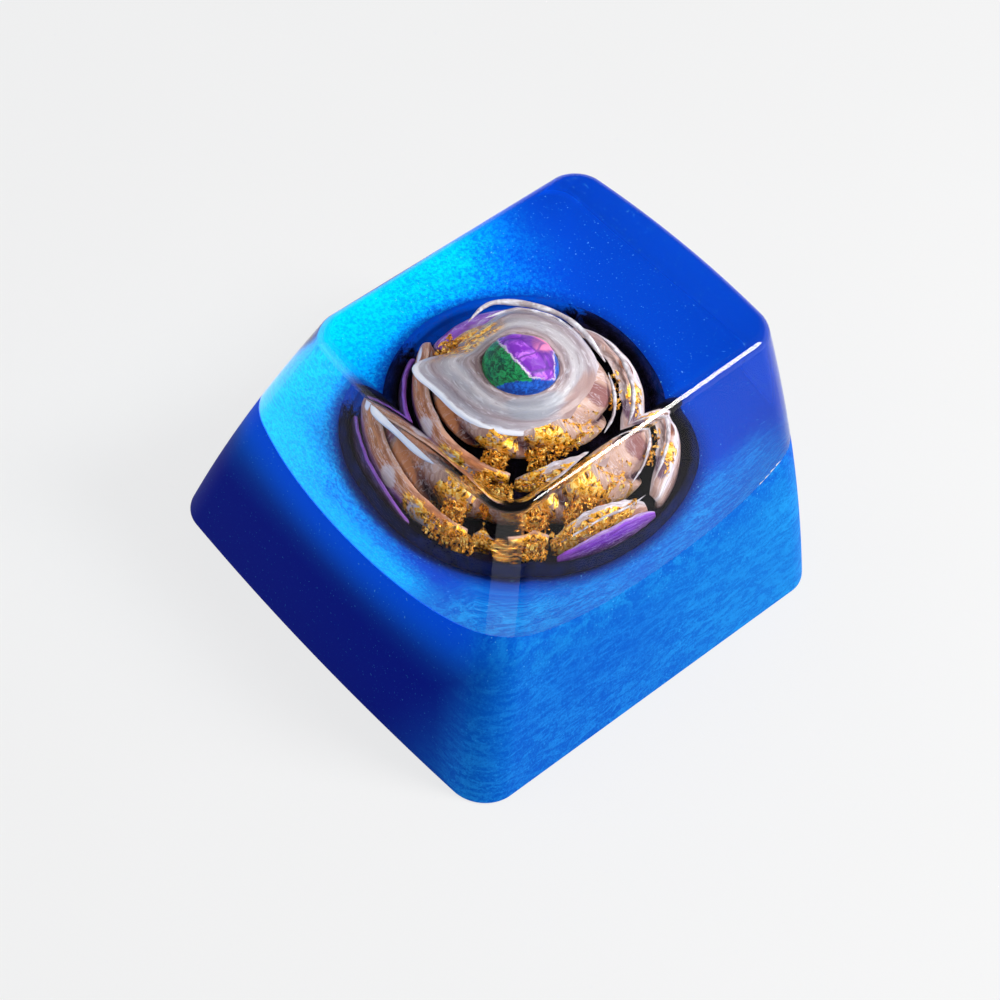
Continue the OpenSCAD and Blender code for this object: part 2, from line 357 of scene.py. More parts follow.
def topZ(y):
    return cap["frontH"] + (cap["backH"] - cap["frontH"]) * (y + cap["topFront"]) / (cap["topBack"] + cap["topFront"])


def wallRing(t, inset=0.0):
    x, y = outline(t, inset)
    return np.stack([x, y, t * topZ(y)], -1)


def flatRing(x, y, z):
    return np.stack([x, y, np.broadcast_to(z, x.shape)], -1)


meanH = (cap["frontH"] + cap["backH"]) / 2
halfUp = np.stack(outline(0.5), -1)
reachOut = np.linalg.norm(halfUp, axis=1)
seamShare = (cap["seamH"] + cap["seamCreep"] * (reachOut / reachOut.max()) ** 4) / topZ(halfUp[:, 1])
seamRing = wallRing(seamShare)


def seamSurface(share, dip=0.0):
    # the pearl resin's surface, which creeps up the walls with the fourth power of the way out
    z = cap["seamH"] + (seamRing[:, 2] - cap["seamH"]) * share**4 - dip * (1 - share**8)
    return np.stack([seamRing[:, 0] * share, seamRing[:, 1] * share, z], -1)


# The pearl resin

pearl = {
    # the first colour is painted shade for the walls that face away from the lamp
    "deep": (0.001, 0.011, 0.29),
    "wall": (0.002, 0.125, 0.66),
    "streak": (0.012, 0.27, 0.86),
    "top": (0.002, 0.064, 0.59),
    "front": (0.0, 0.11, 1.0),
    "ripple": (0.003, 0.14, 0.68),
    "far": (0.016, 0.40, 0.93),
    "fleck": (0.22, 0.66, 1.0),
    "glow": (0.0, 0.32, 0.88),
    "flake": (0.0, 0.50, 0.98),
    "saucerShadow": (0.002, 0.036, 0.34),
    "metallic": 0.4,
    "roughness": 0.5,
    "specular": 0.0,
    "rippleUp": 3500,
    "rippleAcross": 1050,
}


def mixShare(material, share, low, high):
    return calc(material, "MULTIPLY_ADD", share, high - low, low)


def ripples(material, stretch, cloud, mica):
    # streaks that lie along the axes of the smaller stretch, and their share, in patches and grainy
    streak = noise(material, 1.0, detail=5, rough=0.62, twist=1.3, stretch=stretch)
    share = calc(material, "ADD", stepped(material, streak, 0.34, 0.70), calc(material, "MULTIPLY_ADD", mica, 2.2, -1.1), clamp=True)
    return streak, calc(material, "MULTIPLY", share, mixShare(material, stepped(material, cloud, 0.3, 0.7), 0.5, 1.0))


def pearlMaterial():
    made = newMaterial("pearlResin")
    cloud = noise(made, 300, detail=3, twist=0.5)
    mica = noise(made, 11000, detail=2, rough=0.7)
    # wavy streaks lie across the walls, and along the right edge of the top
    across, up = pearl["rippleAcross"], pearl["rippleUp"]
    streak, streaks = ripples(made, (across, across, up), cloud, mica)
    topStreaks = ripples(made, (up, across, across), cloud, mica)[1]
    wall = field(made, "wall")
    place = node(made, "ShaderNodeSeparateXYZ", {0: objectPlace(made)}).outputs
    flake = noise(made, 7000, detail=4, rough=0.8, twist=0.3)
    # the streaks show on the right and back walls, and hardly on the front
    side = calc(made, "MAXIMUM", stepped(made, place["X"], 0.0050, 0.0078), stepped(made, place["Y"], 0.0066, 0.0086))
    onWall = blend(made, calc(made, "MULTIPLY", streaks, mixShare(made, side, 0.10, 1.0)), pearl["wall"], pearl["streak"])
    far = calc(made, "MULTIPLY", stepped(made, place["Y"], -0.0030, 0.0075), mixShare(made, streaks, 0.25, 0.8))
    onWall = blend(made, calc(made, "MULTIPLY", far, side), onWall, pearl["far"])
    # painted shade: the front and left walls, which face away from the lamp, are painted deep blue, deepest across the
    # front wall's middle and lighter towards its right foot and its top
    low = calc(made, "ADD", calc(made, "MULTIPLY", place["X"], 55.0), calc(made, "MULTIPLY", place["Z"], -25.0))
    high = stepped(made, place["Z"], 0.0030, 0.0066)
    lighter = calc(made, "MAXIMUM", stepped(made, low, 0.17, 0.50), high)
    onWall = blend(made, calc(made, "MAXIMUM", lighter, side), pearl["deep"], onWall)
    # painted highlight: the pearl is painted a glowing cyan at the left and in a band along the front, where the lamp's
    # light falls on it
    glowReach = calc(made, "ADD", calc(made, "MULTIPLY", place["X"], -0.8), calc(made, "MULTIPLY", place["Y"], -0.3))
    glowReach = calc(made, "ADD", glowReach, calc(made, "MULTIPLY_ADD", cloud, 0.005, -0.0025))
    glowReach = calc(made, "ADD", glowReach, calc(made, "MULTIPLY_ADD", flake, 0.009, -0.0045))
    ahead = calc(made, "SUBTRACT", 1.0, stepped(made, place["Y"], 0.0030, 0.0072))
    paintedGlow = calc(made, "MULTIPLY", stepped(made, glowReach, 0.0, 0.0062), ahead)
    forward = calc(made, "MULTIPLY_ADD", flake, 0.0016, calc(made, "MULTIPLY", place["Y"], -1.0))
    frontGlow = calc(made, "MULTIPLY", stepped(made, forward, 0.0058, 0.0078), calc(made, "SUBTRACT", 1.0, stepped(made, place["X"], 0.0020, 0.0046)))
    paintedGlow = calc(made, "MAXIMUM", paintedGlow, calc(made, "MULTIPLY", frontGlow, 0.9))
    cyan = blend(made, stepped(made, flake, 0.40, 0.60), pearl["glow"], pearl["flake"])
    onTop = blend(made, paintedGlow, pearl["top"], cyan)
    near = calc(made, "SUBTRACT", 1.0, stepped(made, place["Y"], 0.0066, 0.0086))
    right = calc(made, "MULTIPLY", stepped(made, place["X"], 0.0028, 0.0050), near)
    onTop = blend(made, right, onTop, blend(made, topStreaks, pearl["ripple"], pearl["far"]))
    # under the seam the front and left walls keep a plain deep blue
    plain = calc(made, "MULTIPLY", field(made, "outer"), calc(made, "SUBTRACT", 1.0, side))
    onTop = blend(made, plain, onTop, pearl["front"])
    # painted shadow: a dark ring is painted on the pearl round the saucer
    away = node(made, "ShaderNodeVectorMath", {0: objectPlace(made, (1, 1, 0)), 1: (0.0001, 0.0003, 0)}, operation="DISTANCE").outputs["Value"]
    away = calc(made, "ADD", away, calc(made, "MULTIPLY_ADD", flake, 0.0008, -0.0004))
    onTop = blend(made, calc(made, "SUBTRACT", 1.0, stepped(made, away, 0.0050, 0.0060)), onTop, pearl["saucerShadow"])
    base = blend(made, wall, onTop, onWall)
    sparkle = calc(made, "MULTIPLY", stepped(made, mica, 0.62, 0.74), mixShare(made, wall, 0.5, 0.15))
    base = blend(made, sparkle, base, pearl["glow"])
    base = blend(made, calc(made, "MULTIPLY", stepped(made, mica, 0.69, 0.75), mixShare(made, wall, 0.9, 0.15)), base, pearl["fleck"])
    height = calc(made, "ADD", calc(made, "MULTIPLY", streak, mixShare(made, side, 0.15, 1.0)), calc(made, "MULTIPLY", mica, 0.12))
    return finish(
        made,
        {
            "Base Color": base,
            "Metallic": pearl["metallic"],
            "Roughness": pearl["roughness"],
            "Specular IOR Level": pearl["specular"],
            "IOR": 1.5,
        },
        bump=height,
        strength=0.22,
        depth=0.00006,
    )


def crossRadius(angle, l, w, d, grow=0.0):
    # how far the cross slot's outline is from the middle
    c, s = np.abs(np.cos(angle)) + 1e-9, np.abs(np.sin(angle)) + 1e-9
    across = np.minimum((l / 2 + grow) / c, (w / 2 + grow) / s)
    along = np.minimum((d / 2 + grow) / c, (l / 2 + grow) / s)
    return np.maximum(across, along)


def pearlBody():
    ceiling, fillet = cap["ceilingH"], cap["filletR"]
    innerX, innerY = outline(ceiling / meanH, cap["skirtT"])
    angle = np.unwrap(np.arctan2(innerY, innerX))
    # the cross slot's corners take the place of the nearest angles
    snapped = angle.copy()
    halfL, halfW, halfD = cap["slotL"] / 2, cap["slotW"] / 2, cap["slotD"] / 2
    corners = [math.atan2(halfW, halfL), math.atan2(halfW, halfD), math.atan2(halfL, halfD)]
    for quarter in (0, np.pi):
        for corner in corners:
            for turned in (quarter + corner, quarter - corner):
                off = (angle - turned + np.pi) % (2 * np.pi) - np.pi
                nearest = np.abs(off).argmin()
                snapped[nearest] = angle[nearest] - off[nearest]

    def slotRing(z, grow=0.0):
        r = crossRadius(snapped, cap["slotL"], cap["slotW"], cap["slotD"], grow)
        return flatRing(r * np.cos(snapped), r * np.sin(snapped), z)

    def postRing(r, z):
        return flatRing(r * np.cos(angle), r * np.sin(angle), z)

    recess, lead, postR = cap["postRecess"], cap["leadIn"], cap["postR"]
    rings = [slotRing(cap["slotTop"]), slotRing(recess + lead), slotRing(recess + lead / 3, lead * 0.35), slotRing(recess, lead * 0.5)]
    rings += [postRing(postR - lead, recess), postRing(postR - lead * 0.3, recess + lead * 0.3), postRing(postR, recess + lead)]
    for a in np.radians([0, 30, 60, 90]):
        rings.append(postRing(postR + fillet * (1 - np.cos(a)), ceiling - fillet * (1 - np.sin(a))))
    for a in np.radians([90, 60, 30, 0]):
        z = ceiling - fillet * (1 - np.sin(a))
        x, y = outline(z / meanH, cap["skirtT"] + fillet * (1 - np.cos(a)))
        rings.append(flatRing(x, y, z))
    for z in (ceiling * 0.6, ceiling * 0.3, cap["rimRound"]):
        rings.append(flatRing(*outline(z / meanH, cap["skirtT"]), z))
    rim = cap["rimRound"]
    for a in np.radians([30, 60, 90]):
        rings.append(flatRing(*outline(0.0, cap["skirtT"] - rim * (1 - np.cos(a))), rim * (1 - np.sin(a))))
    for a in np.radians([90, 60, 30]):
        rings.append(flatRing(*outline(0.0, rim * (1 - np.cos(a))), rim * (1 - np.sin(a))))
    inner = len(rings)
    for share in np.linspace(rim / (0.5 * meanH), 1, 26):
        rings.append(wallRing(seamShare * share))
    top = len(rings)
    for share in np.linspace(1, 0.05, 44)[1:]:
        rings.append(seamSurface(share))
    # the walls fade to the top's colour towards the seam
    wall = np.zeros(len(rings))
    wall[:inner] = 1.0
    wall[inner:top] = 1 - smooth(0.66, 1.0, np.linspace(0, 1, top - inner))
    outer = np.zeros(len(rings))
    outer[:top] = 1.0
    body = ringSurface(
        "pearlBody",
        rings,
        pearlMaterial(),
        start=(0, 0, cap["slotTop"]),
        end=(0, 0, cap["seamH"]),
        fields={"wall": wall[:, None], "outer": outer[:, None]},
        sharp=35,
    )
    return put(body, "pearl_resin", "skirt")


pearlBody()
print("pearl body made")

# The clear resin

clear = {"tint": (0.965, 0.99, 1.0, 1), "roughness": 0.012, "ior": 1.5, "dip": 0.04, "bevelSteps": 7, "faceShine": 0.04, "edgeShine": 1.0, "edgeRoughness": 0.07}


def clearMaterial(name, shine, roughness):
    made = newMaterial(name)
    tree = made.node_tree
    glass = node(
        made,
        "ShaderNodeBsdfPrincipled",
        {
            "Base Color": clear["tint"],
            "Roughness": roughness,
            "IOR": clear["ior"],
            "Transmission Weight": 1.0,
            "Specular Tint": (shine, shine, shine, 1),
        },
    )
    # faint flow marks of the casting
    flow = noise(made, 260, detail=1, twist=0.6)
    lift = node(made, "ShaderNodeBump", {"Height": flow, "Strength": 0.05, "Distance": 0.00004})
    tree.links.new(lift.outputs[0], glass.inputs["Normal"])
    passing = node(made, "ShaderNodeBsdfTransparent", {"Color": (0.93, 0.97, 1.0, 1)})
    shadow = node(made, "ShaderNodeLightPath").outputs["Is Shadow Ray"]
    both = node(made, "ShaderNodeMixShader", {0: shadow, 1: glass.outputs[0], 2: passing.outputs[0]})
    out = node(made, "ShaderNodeOutputMaterial")
    tree.links.new(both.outputs[0], out.inputs[0])
    return made


def clearTop():
    edge, dip = cap["edgeR"], clear["dip"]
    rings = [seamSurface(share, dip) for share in np.linspace(0.05, 1, 40)]
    edgeShare = 1 - edge / meanH
    for share in np.linspace(0, 1, 22)[1:]:
        rings.append(wallRing(mix(seamShare, edgeShare, share)))
    bevelFrom = len(rings) - 1
    for a in np.linspace(0, np.pi / 2, clear["bevelSteps"] + 1)[1:]:
        rings.append(wallRing(np.full(len(layAcross), 1 - edge * (1 - np.sin(a)) / meanH), edge * (1 - np.cos(a))))
    middle = np.array([0, (cap["topBack"] - cap["topFront"]) / 2])
    last = rings[-1]
    for share in (0.995, 0.97, 0.8, 0.5, 0.2):
        xy = middle + (last[:, :2] - middle) * share
        rings.append(flatRing(xy[:, 0], xy[:, 1], topZ(xy[:, 1])))
    top = ringSurface(
        "clearTop",
        rings,
        clearMaterial("clearResin", clear["faceShine"], clear["roughness"]),
        start=(0, 0, cap["seamH"] - dip),
        end=(0, middle[1], topZ(middle[1])),
        sharp=40,
    )
    edgeMaterial = clearMaterial("clearEdge", clear["edgeShine"], clear["edgeRoughness"])
    top.data.materials.append(edgeMaterial)
    indices = np.zeros(len(top.data.polygons), np.int32)
    indices[bevelFrom * len(layAcross) : (bevelFrom + clear["bevelSteps"]) * len(layAcross)] = 1
    # the upright corners shine as the bevel does
    round = np.tile((np.abs(turnAcross) > 0.35) & (np.abs(turnBack) > 0.35), bevelFrom - 39)
    indices[39 * len(layAcross) : bevelFrom * len(layAcross)] = round
    top.data.polygons.foreach_set("material_index", indices)
    return put(top, "clear_resin", "clear_block")


clearTop()
print("clear top made")

# The blossom: shared places and the painted materials

blossom = {"saucer": (0.1, 0.3), "core": (-0.25, 0.05), "cupR": 5.2, "cupH": 0.7, "cupT": 0.35}
# the pale and dark colours are a painted highlight and painted shade on the crumpled leaf
gold = {"colour": (0.92, 0.38, 0.02), "pale": (1.0, 0.74, 0.22), "dark": (0.10, 0.03, 0.005), "roughness": 0.32, "metallic": 0.65}


def goldColour(material, scale=5200):
    crumple = noise(material, scale, detail=3, rough=0.65, twist=0.8)
    # painted highlight on the crumples' tops and painted shade in their creases
    shine = blend(material, stepped(material, crumple, 0.50, 0.62), gold["colour"], gold["pale"])
    return blend(material, stepped(material, crumple, 0.47, 0.38), shine, gold["dark"]), crumple


def paintMaterial(name, stops, strand=(0.7, 0.66, 0.72), strandShare=0.5, grain=(0.45, 2.6, 1.0), swirl=0.5, spots=(), goldSpots=(), rough=0.3, closed=False, gloss=0.15):
    # stops are the colours from the foot to the crest, strands follow the piece's own length,
    # spots are painted patches and goldSpots the patches that carry torn gold leaf
    made = newMaterial(name)
    up, flow = field(made, "up"), flowPlace(made)
    along = turnOf(made, flow) if closed else field(made, "along")
    broad = noise(made, 1.0, detail=3, rough=0.55, twist=0.6, stretch=grain, place=flow)
    thin = noise(made, 3.2, detail=3, rough=0.6, twist=0.9, stretch=grain, place=flow)
    fine = noise(made, 3000, detail=4, rough=0.65, twist=0.5)
    lifted = calc(made, "ADD", up, calc(made, "MULTIPLY_ADD", broad, swirl, -0.5 * swirl))
    base = ramp(made, lifted, stops)
    base = blend(made, stepped(made, thin, 0.35, 0.75), base, (0.55, 0.5, 0.5), "MULTIPLY")
    jitter = calc(made, "MULTIPLY_ADD", thin, 1.6, -0.8)
    for spot, colour, share in spots:
        base = blend(made, calc(made, "MULTIPLY", patch(made, along, up, jitter, spot, closed), share), base, colour)
    off = calc(made, "ABSOLUTE", calc(made, "SUBTRACT", thin, 0.47))
    line = calc(made, "SUBTRACT", 1.0, stepped(made, off, 0.004, 0.045))
    line = calc(made, "MULTIPLY", calc(made, "MULTIPLY", line, strandShare), stepped(made, broad, 0.38, 0.6))
    base = blend(made, line, base, strand)
    height = calc(made, "ADD", calc(made, "MULTIPLY", fine, 0.35), calc(made, "MULTIPLY", thin, 0.6))
    inputs = {"Roughness": rough, "Specular IOR Level": gloss}
    if goldSpots:
        torn = noise(made, 1700, detail=6, rough=0.72, twist=1.4)
        zone = 0.0
        for spot, share in goldSpots:
            here = calc(made, "MULTIPLY", patch(made, along, up, jitter, spot, closed), share)
            zone = calc(made, "MAXIMUM", zone, here)
        leaf = stepped(made, calc(made, "MULTIPLY", torn, zone), 0.40, 0.46)
        shine, crumple = goldColour(made)
        base = blend(made, leaf, base, shine)
        height = calc(made, "ADD", height, calc(made, "MULTIPLY", calc(made, "MULTIPLY", crumple, leaf), 1.3))
        inputs["Metallic"] = calc(made, "MULTIPLY", leaf, gold["metallic"])
    inputs["Base Color"] = base
    return finish(made, inputs, bump=height, strength=0.5, depth=0.00007)


def around(centre, r, a, z):
    # points at a radius and an angle in radians round an upright axis
    return np.stack(np.broadcast_arrays(centre[0] + r * np.cos(a), centre[1] + r * np.sin(a), z + cap["seamH"]), -1)


def roundFlow(a, height, r):
    # flow coordinates of a round piece: two round the axis and one along its profile
    return np.stack(np.broadcast_arrays(r * np.cos(a), r * np.sin(a), height), -1)


# The saucer

saucer = {
    "profile": [[0.0, -0.2], [0.84, -0.2], [0.915, 0.02], [0.97, 0.25], [1.0, 0.5], [0.99, 0.78], [0.955, 0.98], [0.93, 0.99], [0.905, 0.85], [0.89, 0.52], [0.84, 0.46], [0.5, 0.48]],
    "wobble": 0.045,
}


def saucerPiece():
    profile = curveThrough(saucer["profile"][1:], 60)
    a = np.linspace(0, 2 * np.pi, 180, endpoint=False)
    wave = waves(a, 3, strongest=14, count=7)
    share = smooth(0.85, 1.0, profile[:, :1])
    r = profile[:, :1] * blossom["cupR"] - saucer["wobble"] * share * (1 + wave)[None]
    z = profile[:, 1:] * blossom["cupH"] + 0.03 * share * waves(a, 5, strongest=9)[None]
    rings = around(blossom["saucer"], r, a[None], z)
    # the rim's blue tint and the blue patch at its left are a painted reflection of the blue pearl
    paint = paintMaterial(
        "darkPaint",
        stops=[(0.0, (0.005, 0.003, 0.007)), (0.6, (0.006, 0.004, 0.010)), (0.9, (0.003, 0.003, 0.014)), (1.0, (0.001, 0.006, 0.045))],
        strand=(0.04, 0.03, 0.09),
        strandShare=0.25,
        spots=[((0.44, 0.13, 1.0, 0.7), (0.0, 0.055, 0.42), 0.92)],
        grain=(0.9, 0.9, 1.5),
        swirl=0.4,
        rough=0.4,
        closed=True,
        gloss=0.0,
    )
    up = smooth(0.6, 1.0, profile[:, :1])
    x, y = blossom["saucer"]
    made = ringSurface(
        "saucerDish",
        rings,
        paint,
        start=(x, y, cap["seamH"] - 0.14),
        end=(x, y, cap["seamH"] + blossom["cupT"]),
        fields={"up": up, "flow": roundFlow(a[None], profile[:, :1] * blossom["cupR"], blossom["cupR"])},
    )
    return put(made, "dark_paint", "saucer")


saucerPiece()

# The core, with folds that wind up to the bead

core = {
    "profile": [[0.80, 0.0], [0.93, 0.18], [0.985, 0.40], [0.965, 0.60], [0.87, 0.8], [0.66, 0.96], [0.4, 1.0]],
    "r": 3.1,
    "h": 3.0,
    "folds": 6,
    "foldDepth": 0.10,
    "twist": 1.1,
    "bulge": 0.17,
    "bulgeAt": 32,
}


def corePiece():
    profile = curveThrough(core["profile"], 70)
    a = np.linspace(0, 2 * np.pi, 300, endpoint=False)
    height = profile[:, 1:]
    turn = (a[None] * core["folds"] / (2 * np.pi) + core["twist"] * height + 0.15 * waves(a, 8, strongest=5)[None]) % 1.0
    fold = smooth(0.0, 0.55, turn) * (1 - smooth(0.9, 1.0, turn))
    turned = (np.degrees(a) - core["bulgeAt"] + 180) % 360 - 180
    bulge = core["bulge"] * np.exp(-((turned / 42) ** 2)) * smooth(0.0, 0.3, height)
    r = profile[:, :1] * core["r"] * (1 - core["foldDepth"] * (1 - fold)) * (1 + bulge)
    z = mix(blossom["cupT"] - 0.05, core["h"], height)
    rings = around(blossom["core"], r, a[None], z)
    paint = paintMaterial(
        "shellPaint",
        stops=[
            (0.0, (0.008, 0.004, 0.010)),
            (0.28, (0.045, 0.014, 0.030)),
            (0.48, (0.22, 0.085, 0.06)),
            (0.68, (0.44, 0.24, 0.17)),
            (1.0, (0.52, 0.38, 0.34)),
        ],
        strandShare=0.35,
        grain=(1.1, 1.1, 0.5),
        spots=[
            ((0.60, 0.07, 0.75, 0.55), (0.46, 0.16, 0.06), 0.95),
            ((0.66, 0.015, 0.8, 0.5), (0.12, 0.03, 0.10), 0.7),
            ((0.72, 0.04, 0.7, 0.5), (0.50, 0.18, 0.07), 0.9),
            ((0.06, 0.09, 0.8, 0.5), (0.46, 0.28, 0.22), 0.9),
            ((0.10, 0.03, 0.9, 0.3), (0.15, 0.04, 0.05), 0.8),
            ((0.50, 0.05, 0.9, 0.35), (0.55, 0.17, 0.06), 0.8),
        ],
        goldSpots=[((0.84, 0.05, 0.5, 0.55), 1.0), ((0.95, 0.06, 0.55, 0.5), 1.0), ((0.02, 0.05, 0.6, 0.4), 0.8), ((0.53, 0.06, 0.85, 0.4), 0.9)],
        closed=True,
    )
    x, y = blossom["core"]
    made = ringSurface(
        "coreFolds",
        rings,
        paint,
        start=(x, y, cap["seamH"] + blossom["cupT"] - 0.05),
        end=(x, y, cap["seamH"] + core["h"]),
        fields={"up": 0.6 * height + 0.4 * fold, "flow": roundFlow(a[None], 3 * height, core["r"])},
    )
    return put(made, "shell_paint", "core")


corePiece()

# The petals and lobes: angles in degrees, heights and thicknesses in millimetres, and the rest in
# shares of the saucer's radius, as in the part's source

petals = {
    "frontPetal": {
        "node": "front_petal",
        "slot": "amber_petal",
        "start": 199,
        "sweep": 110,
        "height": 2.02,
        "thick": 0.40,
        "belly": 0.34,
        "root": (0.765, 0.71),
        "lean": 0.03,
        "curl": 0.085,
        "crest": 0.12,
        "tipLean": 0.055,
        "ruffle": 0.05,
        "paint": {
            "stops": [
                (0.0, (0.030, 0.008, 0.045)),
                (0.22, (0.05, 0.012, 0.06)),
                (0.36, (0.26, 0.07, 0.42)),
                (0.46, (0.42, 0.22, 0.34)),
                (0.58, (0.46, 0.15, 0.06)),
                (0.80, (0.54, 0.21, 0.08)),
                (0.92, (0.42, 0.15, 0.07)),
                (1.0, (0.60, 0.34, 0.24)),
            ],
            "strandShare": 0.5,
            "swirl": 0.2,
            # the first spot, white near the tip, is a painted highlight
            "spots": [((0.10, 0.055, 0.80, 0.08), (0.74, 0.70, 0.76), 0.95), ((0.50, 0.06, 0.60, 0.3), (0.56, 0.46, 0.46), 0.85), ((0.74, 0.10, 0.42, 0.34), (0.50, 0.46, 0.56), 0.9)],
            "goldSpots": [((0.70, 0.10, 0.5, 0.5), 0.95), ((0.93, 0.10, 0.5, 0.6), 1.0)],
        },
    },
    "rightPetal": {
        "node": "right_petal",
        "slot": "gilt_petal",
        "start": 312,
        "sweep": 66,
        "height": 1.9,
        "thick": 0.40,
        "root": (0.74, 0.75),
        "lean": 0.0,
        "curl": 0.07,
        "crest": 0.5,
        "tipLean": 0.0,
        "ruffle": 0.06,
        "paint": {
            "stops": [(0.0, (0.05, 0.012, 0.06)), (0.25, (0.20, 0.07, 0.05)), (0.5, (0.42, 0.19, 0.12)), (0.75, (0.50, 0.30, 0.24)), (0.93, (0.52, 0.38, 0.34)), (1.0, (0.62, 0.54, 0.58))],
            "strandShare": 0.6,
            "goldSpots": [((0.12, 0.2, 0.5, 0.7), 1.0), ((0.5, 0.4, 0.7, 0.3), 1.0), ((0.75, 0.15, 0.4, 0.3), 0.8)],
        },
    },
    "backPetal": {
        "node": "back_petal",
        "slot": "pale_petal",
        "start": 24,
        "sweep": 88,
        "height": 2.02,
        "thick": 0.42,
        "root": (0.79, 0.76),
        "lean": 0.04,
        "curl": 0.20,
        "crest": 0.45,
        "tipLean": 0.0,
        "ruffle": 0.08,
        "paint": {
            "stops": [(0.0, (0.10, 0.04, 0.06)), (0.3, (0.34, 0.18, 0.15)), (0.55, (0.52, 0.36, 0.31)), (0.72, (0.74, 0.70, 0.74)), (0.80, (0.50, 0.34, 0.30)), (0.93, (0.40, 0.24, 0.20)), (1.0, (0.52, 0.42, 0.42))],
            "strandShare": 0.5,
            "swirl": 0.16,
            "spots": [((0.50, 0.075, 0.83, 0.11), (0.17, 0.05, 0.018), 1.0), ((0.16, 0.07, 0.9, 0.15), (0.06, 0.01, 0.06), 0.8)],
            "goldSpots": [((0.24, 0.14, 0.80, 0.18), 0.9)],
        },
    },
    "leftPetal": {
        "node": "left_petal",
        "slot": "violet_petal",
        "start": 118,
        "sweep": 76,
        "height": 1.78,
        "thick": 0.40,
        "root": (0.76, 0.76),
        "lean": 0.03,
        "curl": 0.17,
        "crest": 0.5,
        "tipLean": 0.0,
        "ruffle": 0.05,
        "paint": {
            "stops": [(0.0, (0.025, 0.008, 0.05)), (0.4, (0.06, 0.014, 0.13)), (0.66, (0.24, 0.05, 0.46)), (0.9, (0.36, 0.12, 0.60)), (1.0, (0.56, 0.44, 0.64))],
            "strandShare": 0.7,
            "spots": [((0.06, 0.17, 0.7, 0.6), (0.03, 0.01, 0.06), 0.9)],
        },
    },
    "frontLobe": {
        "node": "front_lobe",
        "slot": "plum_lobe",
        "start": 205,
        "sweep": 72,
        "height": 1.15,
        "thick": 0.3,
        "root": (0.855, 0.855),
        "lean": 0.0,
        "curl": 0.005,
        "crest": 0.4,
        "tipLean": 0.0,
        "ruffle": 0.02,
        "paint": {
            "stops": [(0.0, (0.010, 0.004, 0.016)), (0.6, (0.020, 0.006, 0.030)), (0.86, (0.06, 0.018, 0.09)), (0.93, (0.26, 0.09, 0.44)), (1.0, (0.20, 0.06, 0.36))],
            "strand": (0.3, 0.2, 0.42),
            "strandShare": 0.35,
            "swirl": 0.1,
        },
    },
    "rightLobe": {
        "node": "right_lobe",
        "slot": "violet_lobe",
        "start": 318,
        "sweep": 60,
        "height": 1.42,
        "thick": 0.36,
        "root": (0.85, 0.85),
        "lean": 0.0,
        "curl": 0.005,
        "crest": 0.55,
        "tipLean": 0.0,
        "ruffle": 0.02,
        "paint": {
            "stops": [(0.0, (0.010, 0.004, 0.018)), (0.3, (0.05, 0.012, 0.11)), (0.6, (0.17, 0.03, 0.38)), (0.9, (0.26, 0.06, 0.50)), (1.0, (0.45, 0.30, 0.55))],
            "strand": (0.5, 0.36, 0.66),
            "strandShare": 0.5,
        },
    },
}
petalShape = {"steps": 90, "rows": 22, "endShare": 0.08, "power": 0.6, "thin": 0.55}


def petalPiece(name, spec, seed):
    u = np.linspace(0, 1, petalShape["steps"])[:, None]
    v = 1 - (1 - np.linspace(0, 1, petalShape["rows"])[None]) ** 1.7
    warped = u ** (math.log(0.5) / math.log(spec["crest"]))
    arch = np.sin(np.pi * mix(petalShape["endShare"], 1 - petalShape["endShare"], warped)) ** petalShape["power"]
    lip = np.sqrt(np.clip(1 - np.clip((v - 0.86) / 0.14, 0, 1) ** 2, 0.03, 1))
    ends = np.sqrt(np.clip(1 - np.clip((np.abs(u - 0.5) - 0.47) / 0.03, 0, 1) ** 2, 0.05, 1))
    half = spec["thick"] / 2 * (1 - petalShape["thin"] * v * v) * lip * ends
    ruffle = spec["ruffle"] * v**2 * waves(u * 9, seed, strongest=5)
    tip = spec["tipLean"] * v * np.exp(-((u / 0.14) ** 2))
    bend = arch * (spec["lean"] * v - spec["curl"] * v**4) + tip
    a = np.radians(spec["start"] + spec["sweep"] * u)
    middle = blossom["cupR"] * (mix(*spec["root"], u) + bend) + ruffle
    crest = spec["height"] * arch * (1 + 0.03 * waves(u * 11, seed + 40, strongest=5))
    z = mix(blossom["cupT"] - 0.04, crest, v)
    belly = spec.get("belly", 0) * np.sin(np.pi * np.clip(v * 1.15 - 0.1, 0, 1)) * arch * ends
    inner = around(blossom["saucer"], middle - half - belly, a, z)
    outer = around(blossom["saucer"], middle + half, a, z)
    paint = paintMaterial(name + "Paint", **spec["paint"])
    length = blossom["cupR"] * spec["root"][0] * math.radians(spec["sweep"])
    flow = np.stack(np.broadcast_arrays(u * length, v * spec["height"], 5.0 * seed), -1)
    made = sheetSurface(name, inner, outer, paint, fields={"along": u, "up": v * np.ones_like(u), "flow": flow})
    return put(made, spec["slot"], spec["node"])


for seed, (name, spec) in enumerate(petals.items()):
    petalPiece(name, spec, seed + 11)
print("petals made")

# The collar round the bead, drawn out to a tip

collar = {
    "profile": [[0.0, 0.86], [0.10, 0.97], [0.2, 1.0], [0.5, 0.77], [0.8, 0.40], [0.95, 0.14], [1.0, 0.0]],
    "h": 1.1,
    "thick": 0.4,
    "r": 3.0,
    "inner": 1.17,
    # the lip's radius at angles in degrees
    "lip": [[0, 2.7], [37, 2.95], [82, 3.1], [112, 3.3], [140, 3.3], [165, 2.75], [190, 2.6], [208, 2.85], [225, 3.82], [243, 3.2], [261, 2.9], [304, 2.68], [334, 2.68]],
    "groove": 0.03,
}
bead = {"r": 1.44, "h": 3.3}


